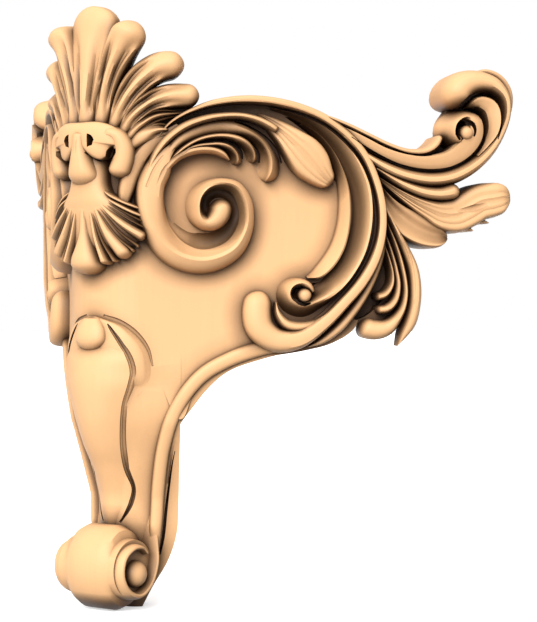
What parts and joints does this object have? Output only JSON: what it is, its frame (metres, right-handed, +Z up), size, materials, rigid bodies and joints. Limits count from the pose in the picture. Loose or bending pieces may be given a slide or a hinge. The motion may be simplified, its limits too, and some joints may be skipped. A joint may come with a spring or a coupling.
{
  "type": "carved corner bracket leg",
  "caption": "Carved wooden corner leg with two scrolled acanthus wings, a shell palmette over the knee and a rolled foot, for the corner of a cabinet or table.",
  "frame": {"origin": "centre of the square bearing face on top of the leg's post, in the inner corner between the wings", "axes": "+Z up out of the bearing face, +X along the right wing away from the corner, +Y along the left wing away from the corner"},
  "size_m": [0.2562, 0.2562, 0.322],
  "materials": {
    "light_wood": "satin"
  },
  "bodies": {
    "root": {"carved_bracket_leg": "light_wood"}
  },
  "joints": []
}
